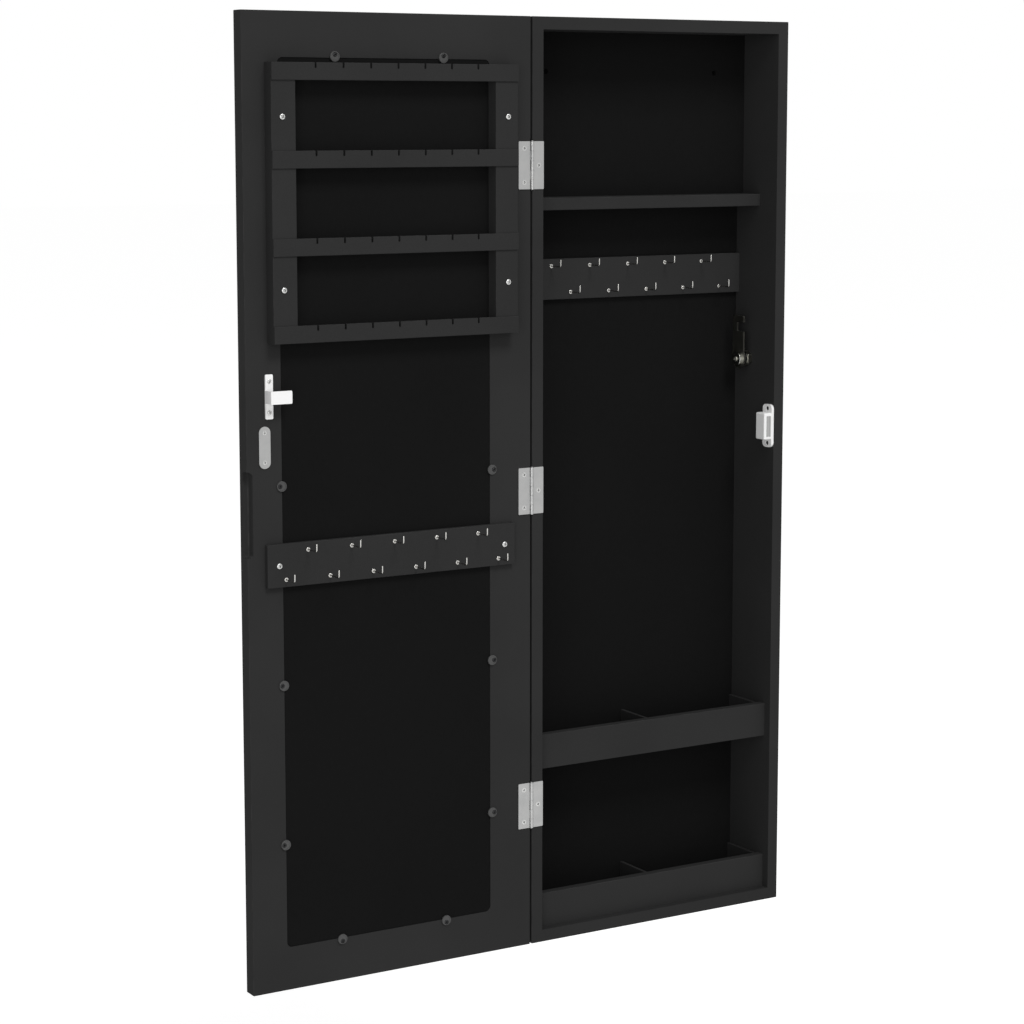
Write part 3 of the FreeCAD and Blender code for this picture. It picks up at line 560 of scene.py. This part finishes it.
# The wire's middle line, from the end of its thread to the tip: Y, Z and the angle it has turned by.
def hookPath(look, faceY, z):
    steps = hookSteps
    bend = look["bend"]
    bendY = faceY - look["reach"] + bend
    bendZ = z + bend
    tipZ = z + look["rise"] - look["wire"]
    path = []
    for i in range(steps["thread"] + 1):
        path.append((faceY + look["thread"] * (1 - i / steps["thread"]), z, 0.0))
    for i in range(1, steps["straight"] + 1):
        path.append((faceY + (bendY - faceY) * i / steps["straight"], z, 0.0))
    for i in range(1, steps["bend"] + 1):
        turn = rightAngle * i / steps["bend"]
        path.append((bendY - bend * math.sin(turn), z + bend * (1 - math.cos(turn)), turn))
    for i in range(1, steps["tip"] + 1):
        path.append((bendY - bend, bendZ + (tipZ - bendZ) * i / steps["tip"], rightAngle))
    return path


def addWire(mesh, look, x, faceY, z):
    def section(y, height, turn, radius):
        points = []
        for i in range(hookSteps["sides"]):
            a = fullTurn * i / hookSteps["sides"]
            across = radius * math.cos(a)
            off = radius * math.sin(a)
            points.append((x + across, y + off * math.sin(turn), height + off * math.cos(turn)))
        return ring(mesh, points)

    path = hookPath(look, faceY, z)
    tipY, tipZ, tipTurn = path[-1]
    loops = [section(y, height, turn, look["wire"]) for y, height, turn in path]
    for i in range(1, hookSteps["dome"]):
        a = rightAngle * i / hookSteps["dome"]
        loops.append(section(tipY, tipZ + look["wire"] * math.sin(a), tipTurn, look["wire"] * math.cos(a)))
    for first, second in zip(loops, loops[1:]):
        bridge(mesh, first, second)
    cap(mesh, loops[0])
    cap(mesh, loops[-1])


def addCollar(mesh, look, x, faceY, z):
    rings = []
    for share, high in collarProfile:
        radius = look["collar"] * share
        y = faceY - look["collarThick"] * high
        points = []
        for i in range(hookSteps["collarSides"]):
            a = fullTurn * i / hookSteps["collarSides"]
            points.append((x + radius * math.cos(a), y, z + radius * math.sin(a)))
        rings.append(ring(mesh, points))
    for first, second in zip(rings, rings[1:]):
        bridge(mesh, first, second)
    bridge(mesh, rings[-1], rings[0])


def makeHooks(nodeName, body):
    mesh = bmesh.new()
    look = {key: value * mm for key, value in hookLook.items()}
    for low, high in spots(nodeName, [0, 2], look["apart"]):
        x = (low[0] + high[0]) / 2
        faceY = high[1] - look["thread"]
        z = low[2] + look["collar"]
        addWire(mesh, look, x, faceY, z)
        addCollar(mesh, look, x, faceY, z)
    newPiece(nodeName, mesh, "nickel_wire", body)


makeHooks("case_hooks", "case")
makeHooks("door_hooks", "door")
print("hooks made")


# Stage: floor, sky, lamps and camera

stageLook = {"floorDrop": 0.35, "floorLevel": 0.66, "floorLift": 0.65, "sky": 0.52, "floorSize": 60.0}
plainWhite = grey(1.0)


def makeFloor():
    data = bpy.data.meshes.new("studioFloor")
    half = stageLook["floorSize"] / 2
    height = cadBox[0][2] - stageLook["floorDrop"]
    corners = [(-half, -half, height), (half, -half, height), (half, half, height), (-half, half, height)]
    data.from_pydata(corners, [], [(0, 1, 2, 3)])
    finish = Finish("pale studio floor")
    diffuse = finish.node("ShaderNodeBsdfDiffuse", {}, {"Color": grey(stageLook["floorLevel"])})
    lift = finish.seenStraight() * stageLook["floorLift"]
    glow = finish.node("ShaderNodeEmission", {}, {"Color": plainWhite, "Strength": lift})
    finish.done(finish.node("ShaderNodeAddShader", {}, {0: diffuse, 1: glow}))
    data.materials.append(finish.material)
    floor = bpy.data.objects.new("studioFloor", data)
    bpy.context.scene.collection.objects.link(floor)


def makeSky():
    world = bpy.data.worlds.new("studioSky")
    bpy.context.scene.world = world
    sky = Finish("studio sky", painted=world)
    dim = sky.node("ShaderNodeBackground", {}, {"Color": plainWhite, "Strength": stageLook["sky"]})
    full = sky.node("ShaderNodeBackground", {}, {"Color": plainWhite, "Strength": 1.0})
    mixed = sky.node("ShaderNodeMixShader", {}, {0: sky.seenStraight(), 1: dim, 2: full})
    sky.node("ShaderNodeOutputWorld", {}, {"Surface": mixed})


lampLooks = {
    "keyLamp": {"place": (-0.15, -3.26, 3.43), "aim": (-0.15, -0.05, -0.4), "size": 1.5, "watts": 108.0},
    "fillLamp": {"place": (-3.0, -3.5, 0.0), "aim": (-0.1, -0.05, -0.4), "size": 2.4, "watts": 46.0},
}


def makeLamp(name, look):
    data = bpy.data.lights.new(name, "AREA")
    data.size = look["size"]
    data.energy = look["watts"]
    lamp = bpy.data.objects.new(name, data)
    bpy.context.scene.collection.objects.link(lamp)
    lamp.location = look["place"]
    sight = Vector(look["aim"]) - Vector(look["place"])
    lamp.rotation_euler = sight.to_track_quat("-Z", "Y").to_euler()


cameraLook = {
    "place": (-1.45977, -2.19087, -0.04354), "yaw": 31.252, "pitch": 7.702, "shift": -0.040,
    "focalPixels": 2620.1, "imagePixels": 1024, "sensor": 36.0, "clipEnd": 200.0,
}


def makeCamera():
    data = bpy.data.cameras.new("photoCamera")
    data.sensor_width = cameraLook["sensor"]
    data.lens = cameraLook["focalPixels"] * cameraLook["sensor"] / cameraLook["imagePixels"]
    data.shift_y = cameraLook["shift"]
    data.clip_end = cameraLook["clipEnd"]
    camera = bpy.data.objects.new("photoCamera", data)
    camera.location = cameraLook["place"]
    camera.rotation_euler = (math.radians(90 - cameraLook["pitch"]), 0.0, -math.radians(cameraLook["yaw"]))
    bpy.context.scene.collection.objects.link(camera)
    bpy.context.scene.camera = camera


makeFloor()
makeSky()
for name, look in lampLooks.items():
    makeLamp(name, look)
makeCamera()
bpy.context.scene.view_settings.view_transform = "Standard"
print("stage set")
